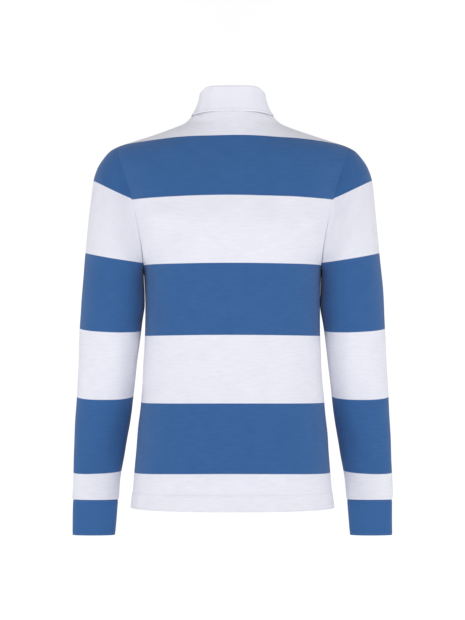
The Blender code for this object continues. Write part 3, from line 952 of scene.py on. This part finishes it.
def collar_grids():
    """The stand and the leaf, both once round from the centre front."""
    end = 180 - FRONT_GAP_TURN
    turn = np.linspace(-end, end, 2 * NECK_STEPS + 1)
    turn = np.sort(np.concatenate([turn, [-end + 0.4, end - 0.4]]))[::-1]
    fold = collar_line("fold", turn)
    edge = collar_line("edge", turn)
    outward = edge - fold
    outward[:, 2] = 0
    outward /= np.linalg.norm(outward, axis=1, keepdims=True)
    up = np.array([0.0, 0, 1])
    top = fold - outward * (ROLL - TWILL) - up * (FALL_INSIDE + SEAM_GAP)
    bottom = neck_line(turn) + up * SEAM_GAP
    stand = np.array([bottom + (top - bottom) * share for share in np.linspace(0, 1, 12)])

    roll = [(-ROLL, -FALL_INSIDE), (-ROLL, -FALL_INSIDE + 0.5), (-ROLL, -8.5), (-ROLL, -5.5),
            (-ROLL, -ROLL)]
    roll += [(-ROLL * math.cos(a), -ROLL + ROLL * math.sin(a))
             for a in np.linspace(0, math.pi, 13)[1:]]
    rows = [fold + outward * reach + up * rise for reach, rise in roll]
    start = rows[-1]
    swing = smooth(COLLAR, "swing", np.abs(turn))[:, None]
    pull = start + (edge - start) * np.concatenate([swing, swing, np.full_like(swing, 0.58)], 1)
    for share in list(np.linspace(0, 1, 30)[1:-1]) + [0.985, 1.0]:
        rows.append(start * (1 - share) ** 2 + pull * 2 * share * (1 - share) + edge * share ** 2)
    leaf = np.array(rows)[::-1]
    drop = column_lengths(leaf)
    puff = 0.45 * np.exp(-((drop - 3.0) / 2.2) ** 2)
    groove = 0.5 * np.exp(-((drop - COLLAR_STITCH) / 1.2) ** 2)
    return stand, leaf + normals(leaf) * (puff - groove)[:, :, None], drop


twill = make_twill()
stand_grid, leaf_grid, leaf_drop = collar_grids()
stand = make_shell("stand", stand_grid, TWILL, twill)
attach(stand, "root")
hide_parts("collar_stand")
leaf = make_shell("leaf", leaf_grid, TWILL, twill)
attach(leaf, "root")
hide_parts("collar_leaf")


def drop_line(grid, drop, at, lift=0.1):
    """The line a set distance along the cloth from the grid's first row."""
    raised = grid + normals(grid) * lift
    line = []
    for c in range(grid.shape[1]):
        line.append([np.interp(at, drop[:, c], raised[:, c, k]) for k in range(3)])
    return np.array(line)


sew("collar_stitches", [drop_line(leaf_grid, leaf_drop, COLLAR_STITCH)[3:-3]],
    white_thread, pitch=TWILL_STITCH)


# ---------------------------------------------------------------- placket
# Two strips of white twill down the slit at the centre front.  The upper one is stitched
# all round and has the buttonholes, and the under one lies inside the shirt behind it.
PLACKET_HALF = 15.5
PLACKET_FOOT = -189.0
PLACKET_LIFT = 0.9
PLACKET_RISE = 1.4          # how far the strips reach past the neck seam
UNDER_HALF = 17.0
PLACKET_STITCH = 2.5
PLACKET_BOX = 24.0          # height of the box stitched at the foot
LINE_STEP = 1.0             # how close the points of a stitched line lie


def strip_grid(half_width, overlap, lift):
    """A strip down the centre front, made from the front panel's own points, moved out."""
    top = float(panel_height(NECK_SIDE, np.zeros(1), -1)[0]) + overlap
    heights = np.linspace(PLACKET_FOOT, top, 70)
    heights = np.sort(np.concatenate([heights, [PLACKET_FOOT + 0.5, top - 0.5]]))
    across = np.concatenate([[0], np.linspace(0.25, 0.96, 8), [1.0]]) * half_width
    rows = []
    for height in heights:
        half = body_point(angle_across(across, height), np.full(len(across), height), -1)
        rows.append(np.concatenate([half[:0:-1] * (-1, 1, 1), half]))
    grid = np.array(rows)
    rise = (creased(FRONT_CREASES, grid[:, :, 0], grid[:, :, 2])
            + rumple(grid[:, :, 0], grid[:, :, 2], FRONT_SEED))
    return grid + normals(grid) * (rise + lift)[:, :, None]


upper_grid = strip_grid(PLACKET_HALF, PLACKET_RISE, PLACKET_LIFT + TWILL)
upper = make_shell("upper_strip", upper_grid, TWILL, twill)
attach(upper, "root")
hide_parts("placket_upper")
under_grid = strip_grid(UNDER_HALF, PLACKET_RISE, -JERSEY - PLACKET_LIFT)
under = make_shell("under_strip", under_grid, TWILL, twill)
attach(under, "root")
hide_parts("placket_under")


def on_strip(grid, corners, lift=0.1):
    """A line over a strip's outer face, through corners given as across and height."""
    raised = grid + normals(grid) * lift
    levels = raised[:, raised.shape[1] // 2, 2]
    line = []
    for (across, height), (to_across, to_height) in zip(corners, corners[1:]):
        steps = max(2, int(math.hypot(to_across - across, to_height - height) / LINE_STEP))
        for share in np.arange(steps) / steps:
            row = np.interp(height + (to_height - height) * share, levels, np.arange(len(levels)))
            low = min(int(row), len(levels) - 2)
            between = raised[low] + (raised[low + 1] - raised[low]) * (row - low)
            place = across + (to_across - across) * share
            line.append([np.interp(place, between[:, 0], between[:, k]) for k in range(3)])
    return np.array(line)


box_half = PLACKET_HALF - PLACKET_STITCH
box_foot = PLACKET_FOOT + PLACKET_STITCH
box_head = float(upper_grid[-1, upper_grid.shape[1] // 2, 2]) - PLACKET_STITCH
border = [(-box_half, box_head), (-box_half, box_foot), (box_half, box_foot), (box_half, box_head)]
bar = [(-box_half, box_foot + PLACKET_BOX), (box_half, box_foot + PLACKET_BOX)]
sew("placket_stitches", [on_strip(upper_grid, border), on_strip(upper_grid, bar)],
    white_thread, pitch=TWILL_STITCH)


# ---------------------------------------------------------------- buttons
# Three plain rubber buttons, moulded with a rim and a sunk face, each behind a buttonhole
# worked in white thread.  They are sewn to the under strip by threads that don't show.
BUTTON_RADIUS = 6.5
BUTTON_THICK = 3.2
BUTTON_DISH = 1.0
BUTTON_RIM = 0.8            # how far the rim's edges are rounded
BUTTON_GAP = 0.4            # between a button and the strip
BUTTON_HEIGHTS = (-66.0, -113.0, -160.0)
BUTTON_SIDES = 40
HOLE_HALF = 8.2             # half the length of a buttonhole, its end stitches included
HOLE_EDGE = 1.0             # the buttonhole's lines of stitches lie this far apart
HOLE_PITCH = 0.8


def make_rubber():
    """Pale, slightly mottled rubber."""
    rubber = Finish("button_rubber_finish", roughness=0.45)
    spot = rubber.node("ShaderNodeTexCoord").outputs["Object"]
    grain = rubber.noise(spot, 700.0, 3.0)
    rubber.colour(rubber.mix(grain, (0.76, 0.76, 0.75, 1.0), (0.83, 0.83, 0.82, 1.0)))
    rubber.relief(grain, 0.0001, 0.4)
    return rubber


def make_button(name, height):
    """A turned button lying on the upper strip."""
    zero = np.zeros(1)
    here = body_point(zero, np.full(1, height), -1)[0]
    above = body_point(zero, np.full(1, height + 5.0), -1)[0]
    up = (above - here) / np.linalg.norm(above - here)
    right = np.array([1.0, 0, 0])
    out = np.cross(right, up)
    level = zero + height
    rise = float(creased(FRONT_CREASES, zero, level)[0] + rumple(zero, level, FRONT_SEED)[0])
    seat = here + out * (PLACKET_LIFT + TWILL + BUTTON_GAP + rise)
    rim = BUTTON_RIM
    curve = [(BUTTON_RADIUS - rim + rim * math.sin(a), rim - rim * math.cos(a))
             for a in np.linspace(0, math.pi / 2, 5)]
    curve += [(BUTTON_RADIUS - rim + rim * math.cos(a), BUTTON_THICK - rim + rim * math.sin(a))
              for a in np.linspace(0, math.pi / 2, 5)]
    curve += [(BUTTON_RADIUS - 2.4, BUTTON_THICK - 0.15),
              (BUTTON_RADIUS - 3.0, BUTTON_THICK - BUTTON_DISH)]
    profile = [(0.0, 0.0)] + curve + [(0.0, BUTTON_THICK - BUTTON_DISH)]
    maker = bmesh.new()
    rings = []
    for radius, lift in profile:
        count = 1 if radius == 0 else BUTTON_SIDES
        turn = 2 * math.pi * np.arange(count) / BUTTON_SIDES
        places = (seat + out * lift + radius * (right * np.cos(turn)[:, None]
                                                + up * np.sin(turn)[:, None])) * METRE
        rings.append([maker.verts.new(place) for place in places])
    for low, high in zip(rings, rings[1:]):
        for k in range(BUTTON_SIDES):
            ring = [low[k % len(low)], low[(k + 1) % len(low)],
                    high[(k + 1) % len(high)], high[k % len(high)]]
            maker.faces.new(list(dict.fromkeys(ring)))
    bmesh.ops.recalc_face_normals(maker, faces=maker.faces[:])
    mesh = bpy.data.meshes.new(name)
    maker.to_mesh(mesh)
    maker.free()
    mesh.materials.append(rubber.material)
    mesh.shade_smooth()
    mesh.set_sharp_from_angle(angle=math.radians(50))
    return add_object(name, mesh)


rubber = make_rubber()
for number, height in enumerate(BUTTON_HEIGHTS, 1):
    button = make_button("rubber_button_%d" % number, height)
    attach(button, "root")
    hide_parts("button_%d" % number)
hole_lines = []
for height in BUTTON_HEIGHTS:
    for across in (-HOLE_EDGE, 0.0, HOLE_EDGE):
        hole_lines.append(on_strip(upper_grid, [(across, height - HOLE_HALF),
                                                (across, height + HOLE_HALF)]))
sew("buttonhole_stitches", hole_lines, white_thread, pitch=HOLE_PITCH)


# ---------------------------------------------------------------- studio
# A pale floor where the wearer would stand, a room that is white behind the shirt and grey
# in front of it, a broad soft light on the back and a small one low down at each side.
FLOOR = -1.25
FLOOR_RADIUS = 2.0
ROOM_GREY = 0.54
ROOM_WHITE = 1.03
SIDE_GAIN = 0.32            # how much brighter the room is at the sides
CEILING_LOSS = 0.32         # and how much darker overhead

maker = bmesh.new()
bmesh.ops.create_circle(maker, cap_ends=True, segments=96, radius=FLOOR_RADIUS)
bmesh.ops.translate(maker, verts=maker.verts[:], vec=(0, 0, FLOOR))
floor_mesh = bpy.data.meshes.new("floor")
maker.to_mesh(floor_mesh)
maker.free()
floor = add_object("floor", floor_mesh)
pale = Finish("pale_floor", roughness=0.9)
pale.colour((0.80, 0.81, 0.83, 1.0))
floor_mesh.materials.append(pale.material)

world = bpy.data.worlds.new("room")
world.use_nodes = True
bpy.context.scene.world = world
room = Tree(world.node_tree)
aim = room.node("ShaderNodeTexCoord").outputs["Generated"]
split = room.node("ShaderNodeSeparateXYZ", inputs={0: aim})
x, y, z = (Value(room, output) for output in split.outputs)
behind = (y * -2.0 - 0.6).clamped()
above = z.clamped()
background = world.node_tree.nodes["Background"]
background.inputs["Color"].default_value = (1, 1, 1, 1)
brightness = behind * (ROOM_WHITE - ROOM_GREY) + ROOM_GREY
brightness = brightness + abs(x) * SIDE_GAIN - above * CEILING_LOSS
room.feed(background.inputs["Strength"], brightness)

SOFTBOXES = (("back_softbox", (0.0, 3.4, 0.7), 1.8, 41.5),
             ("left_softbox", (1.6, 1.0, -1.0), 0.9, 9.0),
             ("right_softbox", (-1.6, 1.0, -1.0), 0.9, 9.0))
for name, place, size, power in SOFTBOXES:
    lamp = bpy.data.lights.new(name, "AREA")
    lamp.shape = "SQUARE"
    lamp.size = size
    lamp.energy = power
    light = add_object(name, lamp)
    light.location = place
    to_shirt = Vector((0, 0, VIEW_MIDDLE)) - Vector(place)
    light.rotation_mode = "QUATERNION"
    light.rotation_quaternion = to_shirt.to_track_quat("-Z", "Y")
bpy.context.scene.view_settings.view_transform = "Standard"
